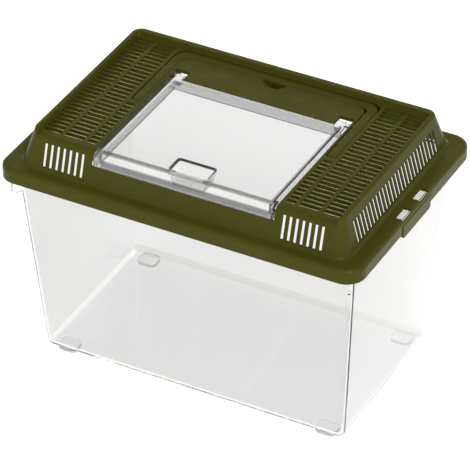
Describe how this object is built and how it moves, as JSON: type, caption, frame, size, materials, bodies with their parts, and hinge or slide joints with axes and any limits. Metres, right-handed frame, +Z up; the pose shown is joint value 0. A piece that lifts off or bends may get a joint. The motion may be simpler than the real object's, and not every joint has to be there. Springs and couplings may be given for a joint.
{
  "type": "plastic pet keeper",
  "caption": "Free-standing clear plastic tank with a slotted push-fit lid, a clear hinged feeding hatch and a fold-flat carry handle.",
  "frame": {"origin": "middle of the plane the four feet stand on", "axes": "+X along the long side, +Y from the front, where the hatch's apron is, to the back, +Z up"},
  "size_m": [0.298, 0.198, 0.206],
  "materials": {
    "clear_tank": "polished clear polystyrene",
    "olive_lid": "olive brown moulded plastic, satin",
    "clear_hatch": "polished clear polystyrene",
    "olive_handle": "olive brown moulded plastic, satin"
  },
  "bodies": {
    "tank": {"tank": "clear_tank"},
    "lid": {"lid": "olive_lid"},
    "hatch": {"feeding_hatch": "clear_hatch"},
    "handle": {"carry_handle": "olive_handle"}
  },
  "joints": [
    {"name": "lid_lift", "type": "slide", "parent": "tank", "child": "lid", "axis": [0, 0, 1], "range_m": [0, 0.06]},
    {"name": "hatch_hinge", "type": "hinge", "parent": "lid", "child": "hatch", "pos_m": [0, 0.04, 0.199], "axis": [-1, 0, 0], "range_deg": [0, 100]},
    {"name": "handle_pivot", "type": "hinge", "parent": "lid", "child": "handle", "pos_m": [0, -0.003, 0.1988], "axis": [1, 0, 0], "range_deg": [0, 90]}
  ]
}
